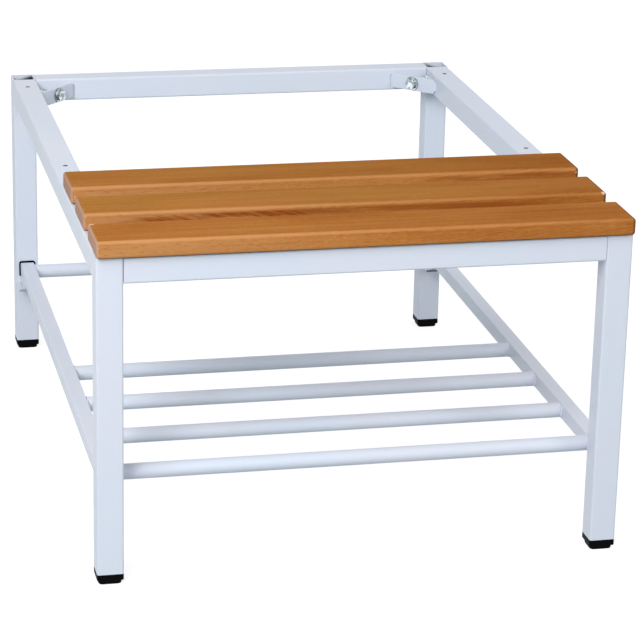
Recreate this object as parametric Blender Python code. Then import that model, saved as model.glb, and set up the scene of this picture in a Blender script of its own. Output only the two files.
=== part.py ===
"""Locker room bench: a welded and bolted tube frame that carries a locker at the back,
a seat of three beech slats at the front and a shoe rack of round bars below."""

from math import cos, pi, radians, sin, sqrt

import bmesh
import bpy
from mathutils import Vector

# Driving dimensions in metres. Y runs from the seat at the front to the wall at the back.
CLEARANCE = 0.0003            # gap left between pieces that touch

FRAME_WIDTH = 0.600           # across the outer faces of the legs
FRAME_DEPTH = 0.820           # from the front faces of the front legs to the back
FRAME_HEIGHT = 0.380          # from the floor to the top of the rails
FRAME_TUBE = 0.030            # side of the square tube of legs and top rails
FRAME_WALL = 0.002
FRAME_CORNER = 0.0025         # outer corner radius of that tube

FOOT_COLLAR_HEIGHT = 0.007
FOOT_PAD_HEIGHT = 0.005
FOOT_PAD_INSET = 0.002        # how far the pad stands back from the collar
FOOT_PAD_CORNER = 0.005
FOOT_PAD_CHAMFER = 0.00125
FOOT_PLUG_LENGTH = 0.018

SLAT_WIDTH = 0.070
SLAT_THICKNESS = 0.020
SLAT_GAP = 0.034
SLAT_OVERHANG = 0.007         # front slat ahead of the front legs
SLAT_EDGE_RADIUS = 0.004
SLAT_NAMES = ("front_slat", "middle_slat", "rear_slat")

SCREW_DIAMETER = 0.0045
SCREW_HEAD_DIAMETER = 0.009
SCREW_HEAD_HEIGHT = 0.003
SCREW_BITE = 0.014            # length of screw inside the slat
SCREW_TIP = 0.0011            # blunt point of the screw
SCREW_SPACING = 0.034         # between the two screws at one end of a slat
FRONT_RAIL_SCREW_OFFSET = 0.135

BRACKET_REACH = 0.050         # from the leg to where the bracket enters each rail
BRACKET_STUB = 0.002          # straight end of the bracket outside the rail
BRACKET_TAB = 0.003           # straight end past the inside of the rail's wall
BRACKET_HEIGHT = 0.020
BRACKET_TAB_HEIGHT = 0.012    # the ends that enter the rails are lower, below round shoulders
BRACKET_THICKNESS = 0.003
BRACKET_SLOT_SPARE = 0.0005   # the slot in the rail is longer than the tab by this at both ends

BOLT_DIAMETER = 0.008
BOLT_HEAD_FLATS = 0.013
BOLT_HEAD_HEIGHT = 0.0053
BOLT_PAST_NUT = 0.003
WASHER_DIAMETER = 0.019
WASHER_THICKNESS = 0.0016
NUT_FLATS = 0.013
NUT_HEIGHT = 0.0065

LOCKER_HOLE_DIAMETER = 0.006
LOCKER_HOLE_FROM_BACK = 0.068
LOCKER_HOLE_SPACING = 0.387

RACK_HEIGHT = 0.116           # from the floor to the middle of the rack
RACK_TUBE = 0.018             # side of the square tube of the lower rails
RACK_WALL = 0.0015
RACK_CORNER = 0.0015
BAR_DIAMETER = 0.018
BAR_WALL = 0.0015
BAR_TO_LEG = 0.006            # free space between the legs and the nearest bars
BAR_PITCH = 0.1075
SEAT_BAR_COUNT = 4            # bars below the seat; one more lies at the back

CAP_RIM = 0.002               # how far the end cap stands out around the lower rail
CAP_THICKNESS = 0.002
CAP_PLUG_LENGTH = 0.014

LUG_LENGTH = 0.035
LUG_HEIGHT = 0.012
LUG_THICKNESS = 0.0025
LUG_FLANGE = 0.0055           # how far the lug's base stands out beside its cheeks

# Places worked out from the driving dimensions
BACK_Y = (FRAME_DEPTH + SLAT_OVERHANG) / 2
FRONT_Y = BACK_Y - FRAME_DEPTH
FRONT_LEG_BACK_Y = FRONT_Y + FRAME_TUBE
BACK_LEG_FRONT_Y = BACK_Y - FRAME_TUBE
LEG_INNER_X = FRAME_WIDTH / 2 - FRAME_TUBE
RAIL_X = FRAME_WIDTH / 2 - FRAME_TUBE / 2
RAIL_MIDDLE_Z = FRAME_HEIGHT - FRAME_TUBE / 2
LEG_BOTTOM_Z = FOOT_PAD_HEIGHT + FOOT_COLLAR_HEIGHT + CLEARANCE
SLAT_BOTTOM_Z = FRAME_HEIGHT + CLEARANCE
RACK_BOTTOM_Z = RACK_HEIGHT - RACK_TUBE / 2
LOWER_RAIL_BACK_Y = BACK_LEG_FRONT_Y - CLEARANCE - CAP_THICKNESS - CLEARANCE
ROUND_SIDES = 24              # flats on a round piece
SCREW_SIDES = 12
CORNER_STEPS = 3              # flats on a rounded corner
SHARP_ANGLE = 32              # edges bent by more degrees than this stay sharp
CORNERS = {
    "right_rear": (LEG_INNER_X, BACK_LEG_FRONT_Y, 0),
    "left_rear": (-LEG_INNER_X, BACK_LEG_FRONT_Y, 90),
    "left_front": (-LEG_INNER_X, FRONT_LEG_BACK_Y, 180),
    "right_front": (LEG_INNER_X, FRONT_LEG_BACK_Y, 270),
}
SIDES = {"left": -1, "right": 1}


def clear_scene():
    for item in list(bpy.data.objects):
        bpy.data.objects.remove(item, do_unlink=True)


def make_material(name, colour, roughness, metallic=0.0):
    material = bpy.data.materials.new(name)
    material.use_nodes = True
    shader = material.node_tree.nodes["Principled BSDF"]
    shader.inputs["Base Color"].default_value = (*colour, 1)
    shader.inputs["Roughness"].default_value = roughness
    shader.inputs["Metallic"].default_value = metallic
    return material


def rounded_square(side, radius, centre=(0, 0)):
    """Outline of a square with round corners, counter-clockwise."""
    reach = side / 2 - radius
    points = []
    for quarter in range(4):
        middle = radians(45 + 90 * quarter)
        corner_x = reach * sqrt(2) * cos(middle)
        corner_y = reach * sqrt(2) * sin(middle)
        for step in range(CORNER_STEPS + 1):
            angle = middle - pi / 4 + pi / 2 * step / CORNER_STEPS
            points.append((centre[0] + corner_x + radius * cos(angle),
                           centre[1] + corner_y + radius * sin(angle)))
    return points


def circle(diameter, sides=ROUND_SIDES):
    angles = [2 * pi * step / sides for step in range(sides)]
    return [(diameter / 2 * cos(angle), diameter / 2 * sin(angle)) for angle in angles]


def hexagon(flats):
    """Hexagon with extra points on its sides, so that it matches a round section."""
    points = []
    for step in range(ROUND_SIDES):
        angle = 2 * pi * step / ROUND_SIDES
        from_flat = (angle % (pi / 3)) - pi / 6
        reach = flats / 2 / cos(from_flat)
        points.append((reach * cos(angle), reach * sin(angle)))
    return points


def strip(path, thickness):
    """Outline of a flat bar that follows a bent path."""
    left = []
    right = []
    for index, point in enumerate(path):
        here = Vector(point)
        before = here - Vector(path[index - 1]) if index else Vector(path[1]) - here
        after = Vector(path[index + 1]) - here if index + 1 < len(path) else before
        before.normalize()
        after.normalize()
        middle = (before + after).normalized()
        side = Vector((-middle.y, middle.x)) * thickness / 2 / middle.dot(before)
        left.append(here + side)
        right.append(here - side)
    return left + right[::-1]


def loft(rings, hollow=False):
    """Closed body through (outline, height) rings along Z, capped or running back to the first."""
    mesh = bmesh.new()
    loops = [[mesh.verts.new((x, y, z)) for x, y in outline] for outline, z in rings]
    count = len(loops[0])
    pairs = list(zip(loops, loops[1:]))
    if hollow:
        pairs.append((loops[-1], loops[0]))
    else:
        mesh.faces.new(loops[0])
        mesh.faces.new(loops[-1])
    for lower, upper in pairs:
        for index in range(count):
            after = (index + 1) % count
            mesh.faces.new((lower[index], lower[after], upper[after], upper[index]))
    bmesh.ops.recalc_face_normals(mesh, faces=mesh.faces)
    return mesh


def tube(outer, inner, length):
    return loft([(outer, 0), (outer, length), (inner, length), (inner, 0)], hollow=True)


def square_tube(side, wall, corner, length):
    """Square tube with sharp corners inside, where the wall is thicker than the outer radius."""
    inner_corner = max(corner - wall, CLEARANCE)
    return tube(rounded_square(side, corner), rounded_square(side - 2 * wall, inner_corner), length)


def box(width, depth, height):
    mesh = bmesh.new()
    bmesh.ops.create_cube(mesh, size=1)
    bmesh.ops.scale(mesh, vec=(width, depth, height), verts=mesh.verts)
    return mesh


def add_object(name, mesh, location, rotation=(0, 0, 0), material=None, parent=None):
    """Put a mesh in the scene; rotation is in degrees."""
    data = bpy.data.meshes.new(name)
    mesh.to_mesh(data)
    mesh.free()
    data.shade_smooth()
    data.set_sharp_from_angle(angle=radians(SHARP_ANGLE))
    item = bpy.data.objects.new(name, data)
    item.location = location
    item.rotation_euler = [radians(angle) for angle in rotation]
    item.parent = parent
    if material:
        data.materials.append(material)
    bpy.context.scene.collection.objects.link(item)
    return item


def cut(target, name, mesh, location, rotation=(0, 0, 0), parent=None):
    """Take a shape out of a piece; one Boolean per piece takes all its hidden cutters."""
    cutter = add_object(name, mesh, location, rotation, parent=parent)
    cutter.hide_render = True
    cutter.display_type = "WIRE"
    if "cuts" not in target.modifiers:
        boolean = target.modifiers.new("cuts", "BOOLEAN")
        boolean.operation = "DIFFERENCE"
        boolean.solver = "EXACT"
        boolean.operand_type = "COLLECTION"
        boolean.collection = bpy.data.collections.new(f"{target.name}_cuts")
    target.modifiers["cuts"].collection.objects.link(cutter)


def round_cut(target, name, diameter, length, location, rotation=(0, 0, 0), parent=None):
    mesh = loft([(circle(diameter), 0), (circle(diameter), length)])
    cut(target, name, mesh, location, rotation, parent)


clear_scene()
POWDER_COAT = make_material("light grey powder coat", (0.70, 0.74, 0.80), 0.40)
BEECH = make_material("lacquered beech", (0.42, 0.18, 0.05), 0.42)
BLACK_PLASTIC = make_material("black plastic", (0.006, 0.006, 0.007), 0.45)
ZINC = make_material("zinc plated steel", (0.62, 0.63, 0.64), 0.32, 1.0)

# Top rails: the side rails run between the legs, front and rear rails close the ends
SIDE_RAIL_LENGTH = BACK_LEG_FRONT_Y - FRONT_LEG_BACK_Y - 2 * CLEARANCE
CROSS_RAIL_LENGTH = 2 * (LEG_INNER_X - CLEARANCE)
rails = {}
for side, sign in SIDES.items():
    rails[side] = add_object(
        f"{side}_top_rail",
        square_tube(FRAME_TUBE, FRAME_WALL, FRAME_CORNER, SIDE_RAIL_LENGTH),
        (sign * RAIL_X, BACK_LEG_FRONT_Y - CLEARANCE, RAIL_MIDDLE_Z), (90, 0, 0), POWDER_COAT)
    for place in range(2):
        round_cut(
            rails[side], f"{side}_locker_hole_{place + 1}", LOCKER_HOLE_DIAMETER, 2 * FRAME_TUBE,
            (sign * RAIL_X, BACK_Y - LOCKER_HOLE_FROM_BACK - place * LOCKER_HOLE_SPACING,
             RAIL_MIDDLE_Z - FRAME_TUBE))
for end, y in {"front": FRONT_Y + FRAME_TUBE / 2, "rear": BACK_Y - FRAME_TUBE / 2}.items():
    rails[end] = add_object(
        f"{end}_rail", square_tube(FRAME_TUBE, FRAME_WALL, FRAME_CORNER, CROSS_RAIL_LENGTH),
        (-CROSS_RAIL_LENGTH / 2, y, RAIL_MIDDLE_Z), (0, 90, 0), POWDER_COAT)

# Corners: each has its own empty on the leg's inner edge, with +X and +Y into the leg
BRACKET_MIDDLE = (BRACKET_REACH + BRACKET_STUB) / 2
BRACKET_DISTANCE = BRACKET_MIDDLE * sqrt(2)
TAB_END = FRAME_WALL + BRACKET_TAB
BRACKET_PATH = [
    (TAB_END, -BRACKET_REACH), (-BRACKET_STUB, -BRACKET_REACH),
    (-BRACKET_REACH, -BRACKET_STUB), (-BRACKET_REACH, TAB_END),
]
BRACKET_FACE = -BRACKET_DISTANCE - BRACKET_THICKNESS / 2
WASHER_FACE = BRACKET_FACE - CLEARANCE - WASHER_THICKNESS
BOLT_FACE = WASHER_FACE - CLEARANCE
NUT_POINTS = NUT_FLATS / sqrt(3)
NUT_FACE = FRAME_WALL * sqrt(2) + NUT_POINTS + 2 * CLEARANCE
BOLT_END = NUT_FACE + NUT_HEIGHT + BOLT_PAST_NUT
BOLT_HOLE = BOLT_DIAMETER + 2 * CLEARANCE
DRILL_REACH = FRAME_TUBE / 3          # on both sides of the leg's inner edge
SLOT_WIDTH = BRACKET_THICKNESS + 2 * CLEARANCE
SLOT_HEIGHT = BRACKET_TAB_HEIGHT + 2 * BRACKET_SLOT_SPARE
SLOT_DEPTH = 1.5 * FRAME_WALL         # on both sides of the rail's face
ALONG_DIAGONAL = (0, 90, 45)
BRACKET_BEND = (BRACKET_REACH - BRACKET_STUB) / sqrt(2)   # from the bolt to each bend
SHOULDER_RADIUS = (BRACKET_HEIGHT - BRACKET_TAB_HEIGHT) / 2
SHOULDER_CUT = BRACKET_STUB + TAB_END + BRACKET_THICKNESS   # past the bend and to both sides


def on_diagonal(distance):
    """Point on the bolt's axis; zero is the leg's inner edge and plus is into the leg."""
    return (distance / sqrt(2), distance / sqrt(2), RAIL_MIDDLE_Z)


def shoulder():
    """Outline of what is cut off above a bracket's tab, up to a round shoulder on the strip."""
    tab_top = BRACKET_TAB_HEIGHT / 2
    angles = [pi / 2 * step / CORNER_STEPS for step in range(CORNER_STEPS + 1)]
    arc = [(BRACKET_BEND - SHOULDER_RADIUS * (1 - sin(angle)), tab_top + SHOULDER_RADIUS * cos(angle))
           for angle in angles]
    past_tab = BRACKET_BEND + SHOULDER_CUT
    return [(past_tab, BRACKET_HEIGHT), (arc[0][0], BRACKET_HEIGHT), *arc, (past_tab, tab_top)]


for name, (x, y, turn) in CORNERS.items():
    corner = bpy.data.objects.new(f"{name}_corner", None)
    corner.location = (x, y, 0)
    corner.rotation_euler.z = radians(turn)
    bpy.context.scene.collection.objects.link(corner)
    leg_axis = (FRAME_TUBE / 2, FRAME_TUBE / 2)

    leg = add_object(
        f"{name}_leg",
        square_tube(FRAME_TUBE, FRAME_WALL, FRAME_CORNER, FRAME_HEIGHT - LEG_BOTTOM_Z),
        (*leg_axis, LEG_BOTTOM_Z), material=POWDER_COAT, parent=corner)
    side, end = name.split("_")
    drilled = {"leg": leg, "side_rail": rails[side], "cross_rail": rails[end]}
    for piece, target in drilled.items():
        round_cut(target, f"{name}_{piece}_bolt_hole", BOLT_HOLE, 2 * DRILL_REACH,
                  on_diagonal(-DRILL_REACH), ALONG_DIAGONAL, corner)

    pad_side = FRAME_TUBE - 2 * FOOT_PAD_INSET
    plug_side = FRAME_TUBE - 2 * FRAME_WALL - 2 * CLEARANCE
    pad = rounded_square(pad_side, FOOT_PAD_CORNER)
    pad_base = rounded_square(pad_side - 2 * FOOT_PAD_CHAMFER, FOOT_PAD_CORNER)
    collar = rounded_square(FRAME_TUBE, FRAME_CORNER)
    plug = rounded_square(plug_side, FRAME_CORNER)
    collar_top = FOOT_PAD_HEIGHT + FOOT_COLLAR_HEIGHT
    foot = loft([
        (pad_base, 0), (pad, FOOT_PAD_CHAMFER), (pad, FOOT_PAD_HEIGHT),
        (collar, FOOT_PAD_HEIGHT), (collar, collar_top),
        (plug, collar_top), (plug, collar_top + FOOT_PLUG_LENGTH)])
    add_object(f"{name}_foot", foot, (*leg_axis, 0), material=BLACK_PLASTIC, parent=corner)

    outline = strip(BRACKET_PATH, BRACKET_THICKNESS)
    bracket = add_object(
        f"{name}_bracket", loft([(outline, 0), (outline, BRACKET_HEIGHT)]),
        (0, 0, RAIL_MIDDLE_Z - BRACKET_HEIGHT / 2), material=POWDER_COAT, parent=corner)
    round_cut(bracket, f"{name}_bracket_hole", BOLT_HOLE, 2 * BRACKET_THICKNESS,
              on_diagonal(-BRACKET_DISTANCE - BRACKET_THICKNESS), ALONG_DIAGONAL, corner)
    for number, (lean, heading) in enumerate(((90, 135), (-90, 135), (90, 315), (-90, 315)), start=1):
        corner_cut = loft([(shoulder(), -SHOULDER_CUT), (shoulder(), SHOULDER_CUT)])
        cut(bracket, f"{name}_shoulder_{number}", corner_cut, on_diagonal(-BRACKET_DISTANCE),
            (lean, 0, heading), corner)

    bolt = loft([
        (hexagon(BOLT_HEAD_FLATS), -BOLT_HEAD_HEIGHT), (hexagon(BOLT_HEAD_FLATS), 0),
        (circle(BOLT_DIAMETER), 0), (circle(BOLT_DIAMETER), BOLT_END - BOLT_FACE)])
    add_object(f"{name}_bolt", bolt, on_diagonal(BOLT_FACE), ALONG_DIAGONAL, ZINC, corner)
    add_object(f"{name}_washer", tube(circle(WASHER_DIAMETER), circle(BOLT_HOLE), WASHER_THICKNESS),
               on_diagonal(WASHER_FACE), ALONG_DIAGONAL, ZINC, corner)
    add_object(f"{name}_nut", tube(hexagon(NUT_FLATS), circle(BOLT_HOLE), NUT_HEIGHT),
               on_diagonal(NUT_FACE), ALONG_DIAGONAL, ZINC, corner)

    along_x = (box(2 * SLOT_DEPTH, SLOT_WIDTH, SLOT_HEIGHT), (0, -BRACKET_REACH, RAIL_MIDDLE_Z))
    along_y = (box(SLOT_WIDTH, 2 * SLOT_DEPTH, SLOT_HEIGHT), (-BRACKET_REACH, 0, RAIL_MIDDLE_Z))
    side_slot, cross_slot = (along_x, along_y) if turn % 180 == 0 else (along_y, along_x)
    cut(rails[side], f"{name}_side_slot", *side_slot, parent=corner)
    cut(rails[end], f"{name}_cross_slot", *cross_slot, parent=corner)

# Seat slats, each held by four screws driven up through the rails
SLAT_PITCH = SLAT_WIDTH + SLAT_GAP
SCREW_TOP_Z = SLAT_BOTTOM_Z + SCREW_BITE
SCREW_FACE_Z = FRAME_HEIGHT - FRAME_TUBE - CLEARANCE
SCREW_HOLE = SCREW_DIAMETER + 2 * CLEARANCE
PILOT_SPARE = SCREW_DIAMETER / 4      # the slat's hole is longer than the screw by this
for number, name in enumerate(SLAT_NAMES):
    slat_front_y = FRONT_Y - SLAT_OVERHANG + number * SLAT_PITCH
    slat_middle_y = slat_front_y + SLAT_WIDTH / 2
    mesh = box(FRAME_WIDTH, SLAT_WIDTH, SLAT_THICKNESS)
    bmesh.ops.bevel(mesh, geom=mesh.edges, offset=SLAT_EDGE_RADIUS, segments=CORNER_STEPS,
                    profile=0.5, affect="EDGES", material=-1)
    slat = add_object(name, mesh, (0, slat_middle_y, SLAT_BOTTOM_Z + SLAT_THICKNESS / 2),
                      material=BEECH)
    spots = []
    for side, sign in SIDES.items():
        if number == 0:
            behind_leg_y = (FRONT_LEG_BACK_Y + slat_front_y + SLAT_WIDTH) / 2
            spots.append((rails[side], sign * RAIL_X, behind_leg_y))
            spots.append((rails["front"], sign * FRONT_RAIL_SCREW_OFFSET, FRONT_Y + FRAME_TUBE / 2))
        else:
            spots.append((rails[side], sign * RAIL_X, slat_middle_y - SCREW_SPACING / 2))
            spots.append((rails[side], sign * RAIL_X, slat_middle_y + SCREW_SPACING / 2))
    for place, (rail, x, y) in enumerate(spots, start=1):
        crown = circle(SCREW_HEAD_DIAMETER / 2, SCREW_SIDES)
        head = circle(SCREW_HEAD_DIAMETER, SCREW_SIDES)
        shank = circle(SCREW_DIAMETER, SCREW_SIDES)
        tip = circle(SCREW_TIP, SCREW_SIDES)
        screw_length = SCREW_TOP_Z - SCREW_FACE_Z
        screw = loft([
            (crown, -SCREW_HEAD_HEIGHT), (head, -SCREW_HEAD_HEIGHT / 2), (head, 0),
            (shank, 0), (shank, screw_length - SCREW_DIAMETER), (tip, screw_length)])
        add_object(f"{name}_screw_{place}", screw, (x, y, SCREW_FACE_Z), material=ZINC)
        round_cut(rail, f"{name}_rail_hole_{place}", SCREW_HOLE, 2 * FRAME_TUBE,
                  (x, y, RAIL_MIDDLE_Z - FRAME_TUBE))
        round_cut(slat, f"{name}_hole_{place}", SCREW_HOLE, SCREW_BITE + 2 * PILOT_SPARE,
                  (x, y, SLAT_BOTTOM_Z - PILOT_SPARE))

# Shoe rack: lower rails between the legs, bars welded between the rails
LOWER_RAIL_LENGTH = LOWER_RAIL_BACK_Y - FRONT_LEG_BACK_Y - CLEARANCE
for side, sign in SIDES.items():
    add_object(f"{side}_lower_rail",
               square_tube(RACK_TUBE, RACK_WALL, RACK_CORNER, LOWER_RAIL_LENGTH),
               (sign * RAIL_X, LOWER_RAIL_BACK_Y, RACK_HEIGHT), (90, 0, 0), POWDER_COAT)

    rim = rounded_square(RACK_TUBE + 2 * CAP_RIM, RACK_CORNER + CAP_RIM)
    plug = rounded_square(RACK_TUBE - 2 * RACK_WALL - 2 * CLEARANCE, RACK_CORNER)
    plug_top = CAP_THICKNESS + CAP_PLUG_LENGTH
    cap = loft([(rim, 0), (rim, CAP_THICKNESS), (plug, CAP_THICKNESS), (plug, plug_top)])
    add_object(f"{side}_rail_cap", cap, (sign * RAIL_X, BACK_LEG_FRONT_Y - CLEARANCE, RACK_HEIGHT),
               (90, 0, 0), BLACK_PLASTIC)

    cheek_x = RACK_TUBE / 2
    inner_x = cheek_x - LUG_THICKNESS
    base_x = cheek_x + LUG_FLANGE
    base_top = LUG_THICKNESS - LUG_HEIGHT
    channel = [
        (-cheek_x, 0), (-cheek_x, base_top), (-base_x, base_top), (-base_x, -LUG_HEIGHT),
        (base_x, -LUG_HEIGHT), (base_x, base_top), (cheek_x, base_top), (cheek_x, 0),
        (inner_x, 0), (inner_x, base_top), (-inner_x, base_top), (-inner_x, 0)]
    lug_top_z = RACK_BOTTOM_Z - CLEARANCE
    lug = add_object(f"{side}_rack_lug", loft([(channel, 0), (channel, LUG_LENGTH)]),
                     (sign * RAIL_X, BACK_LEG_FRONT_Y - CLEARANCE, lug_top_z),
                     (90, 0, 0), POWDER_COAT)
    cut(lug, f"{side}_lug_notch",
        box(2 * RACK_TUBE, 2 * (CAP_THICKNESS + 2 * CLEARANCE), 2 * CAP_RIM),
        (sign * RAIL_X, BACK_LEG_FRONT_Y, lug_top_z))

BAR_LENGTH = 2 * (RAIL_X - RACK_TUBE / 2 - CLEARANCE)
FIRST_BAR_Y = FRONT_LEG_BACK_Y + BAR_TO_LEG + BAR_DIAMETER / 2
LAST_BAR_Y = BACK_LEG_FRONT_Y - BAR_TO_LEG - BAR_DIAMETER / 2
bar_places = [FIRST_BAR_Y + number * BAR_PITCH for number in range(SEAT_BAR_COUNT)] + [LAST_BAR_Y]
for number, y in enumerate(bar_places, start=1):
    add_object(f"rack_bar_{number}",
               tube(circle(BAR_DIAMETER), circle(BAR_DIAMETER - 2 * BAR_WALL), BAR_LENGTH),
               (-BAR_LENGTH / 2, y, RACK_HEIGHT), (0, 90, 0), POWDER_COAT)
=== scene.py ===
"""Locker room bench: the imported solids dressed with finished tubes, slats, fasteners and coats."""

from math import cos, pi, radians, sin, sqrt, tau

import bmesh
import bpy
from mathutils import Matrix, Vector


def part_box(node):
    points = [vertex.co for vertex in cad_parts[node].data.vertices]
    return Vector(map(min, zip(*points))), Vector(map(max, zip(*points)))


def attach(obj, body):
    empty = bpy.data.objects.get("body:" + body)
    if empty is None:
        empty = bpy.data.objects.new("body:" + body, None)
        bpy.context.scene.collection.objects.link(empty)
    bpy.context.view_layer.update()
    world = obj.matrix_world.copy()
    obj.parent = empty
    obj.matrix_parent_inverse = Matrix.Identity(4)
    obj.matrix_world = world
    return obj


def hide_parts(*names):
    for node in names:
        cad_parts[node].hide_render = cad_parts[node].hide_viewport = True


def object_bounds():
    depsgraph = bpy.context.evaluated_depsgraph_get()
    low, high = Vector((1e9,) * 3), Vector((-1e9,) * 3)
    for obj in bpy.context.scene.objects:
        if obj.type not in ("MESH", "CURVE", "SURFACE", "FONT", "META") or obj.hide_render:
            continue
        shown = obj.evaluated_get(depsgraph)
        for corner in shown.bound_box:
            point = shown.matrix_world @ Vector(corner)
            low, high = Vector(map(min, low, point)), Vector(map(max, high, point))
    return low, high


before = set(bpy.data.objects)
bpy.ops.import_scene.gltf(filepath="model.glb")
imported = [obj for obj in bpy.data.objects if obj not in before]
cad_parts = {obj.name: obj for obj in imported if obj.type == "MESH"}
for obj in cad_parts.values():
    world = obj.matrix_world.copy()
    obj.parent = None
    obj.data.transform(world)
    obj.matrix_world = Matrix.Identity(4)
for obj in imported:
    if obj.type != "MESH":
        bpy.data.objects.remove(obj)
solid_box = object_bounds()

# Legs: four lengths of 30 mm square steel tube with a 2 mm wall, sawn square and deburred.
# Each is drilled through its inner edge for the corner bolt, and open at the top. All the steel has
# a light grey powder coat, sprayed on as dust and baked to a satin skin with a faint orange peel.
TUBE_SIDE = 0.030
TUBE_WALL = 0.002
TUBE_CORNER = 0.0025
CORNER_STEPS = 6
SAWN_EDGE = 0.0003
SHARP_ANGLE = radians(50)
BOLT_HOLE = 0.0086
BOLT_DRILL = 0.020
HOLE_STEPS = 40
CORNER_NAMES = ("right_rear", "left_rear", "left_front", "right_front")
RAIL_MIDDLE = (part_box("front_rail")[0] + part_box("front_rail")[1]).z / 2
INTO_CORNER = Matrix.Rotation(pi / 4, 4, "Z") @ Matrix.Rotation(pi / 2, 4, "Y")
COOL_GREY = (0.682, 0.735, 0.832, 1)
WARM_GREY = (0.715, 0.738, 0.826, 1)
# Inside the tubes: dark steel, partly painted shade, and how far the coat reaches into an open mouth,
# slanted to paint the walls' shadow
DARK_STEEL_AND_SHADE = (0.030, 0.031, 0.036, 1)
GREY_STEEL = (0.065, 0.063, 0.066, 1)
BARE_FROM = 0.0015
HOLE_SHADE_FROM = 0.0009
COAT_AND_SHADE_REACH = (0.0034, 0.0090)
SHADOW_SLANT = 0.30
SPRAY_RAGGED = 0.002


def square_section(side, corner):
    """Flat square with round corners in the plane of X and Y."""
    section = bmesh.new()
    bmesh.ops.create_grid(section, x_segments=1, y_segments=1, size=side / 2)
    bmesh.ops.bevel(section, geom=section.verts, offset=corner, segments=CORNER_STEPS,
                    profile=0.5, affect="VERTICES", material=-1)
    return section


def hollow(section, wall):
    """Take the middle out of a flat section and leave a rim as wide as the wall."""
    rim = bmesh.ops.inset_region(section, faces=section.faces, thickness=wall,
                                 use_boundary=True, use_even_offset=True)["faces"]
    middle = [face for face in section.faces if face not in rim]
    bmesh.ops.delete(section, geom=middle, context="FACES_ONLY")
    return section


def draw_out(section, length):
    """Pull a flat section along Z into a closed body."""
    pulled = bmesh.ops.extrude_face_region(section, geom=section.faces)["geom"]
    top = [item for item in pulled if isinstance(item, bmesh.types.BMVert)]
    bmesh.ops.translate(section, vec=(0, 0, length), verts=top)
    bmesh.ops.recalc_face_normals(section, faces=section.faces)
    return section


def ease(mesh, radius, steps=2):
    """Round off the sharp edges of a body."""
    sharp = [edge for edge in mesh.edges if edge.calc_face_angle(0) > SHARP_ANGLE]
    bmesh.ops.bevel(mesh, geom=sharp, offset=radius, segments=steps, profile=0.5,
                    affect="EDGES", material=-1)
    return mesh


def move(mesh, matrix):
    bmesh.ops.transform(mesh, matrix=matrix, verts=mesh.verts)
    return mesh


def middle_of(node):
    low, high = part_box(node)
    return (low + high) / 2


def length_of(node):
    low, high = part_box(node)
    return max(high - low)


def lay_on(mesh, node):
    """Turn a body drawn along Z to the node's longest side and put it in the node's place."""
    low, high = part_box(node)
    size = high - low
    longest = max(range(3), key=lambda axis: size[axis])
    along = Vector([axis == longest for axis in range(3)])
    turn = Vector((0, 0, 1)).rotation_difference(along).to_matrix().to_4x4()
    centred = Matrix.Translation((0, 0, -size[longest] / 2))
    return move(mesh, Matrix.Translation(middle_of(node)) @ turn @ centred)


def square_tube(node, side, corner, wall):
    """Length of square tube in the node's place, with its sawn ends deburred."""
    tube = draw_out(hollow(square_section(side, corner), wall), length_of(node))
    return lay_on(ease(tube, SAWN_EDGE), node)


def drill(holes, diameter, depth, matrix):
    """Add a round hole, centred on the matrix and along its Z, to a set of holes."""
    bmesh.ops.create_cone(holes, cap_ends=True, segments=HOLE_STEPS, radius1=diameter / 2,
                          radius2=diameter / 2, depth=depth, matrix=matrix)


def work_object(mesh):
    """Object for one step of work, removed again after it."""
    data = bpy.data.meshes.new("work")
    mesh.to_mesh(data)
    item = bpy.data.objects.new("work", data)
    bpy.context.scene.collection.objects.link(item)
    return item


def worked(mesh, kind, **settings):
    """Run one modifier over a body and give the body that it leaves."""
    item = work_object(mesh)
    mesh.free()
    step = item.modifiers.new("step", kind)
    for setting, value in settings.items():
        setattr(step, setting, value)
    result = bmesh.new()
    result.from_object(item, bpy.context.evaluated_depsgraph_get())
    bpy.data.objects.remove(item)
    return result


def combined(mesh, other, operation):
    """Boolean of two bodies: DIFFERENCE drills, UNION fuses, INTERSECT keeps what both fill."""
    tool = work_object(other)
    result = worked(mesh, "BOOLEAN", operation=operation, solver="EXACT", object=tool)
    bpy.data.objects.remove(tool)
    return result


def add_piece(name, mesh, material, slot, *nodes):
    """Put a finished body on the bench, in the place of the solids that it stands for."""
    data = bpy.data.meshes.new(name)
    mesh.to_mesh(data)
    mesh.free()
    data.shade_smooth()
    data.set_sharp_from_angle(angle=SHARP_ANGLE)
    data.materials.append(material)
    piece = bpy.data.objects.new(name, data)
    bpy.context.scene.collection.objects.link(piece)
    piece.modifiers.new("even shading", "WEIGHTED_NORMAL").keep_sharp = True
    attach(piece, "root")
    if nodes:
        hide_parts(*nodes)
    return piece


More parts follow.
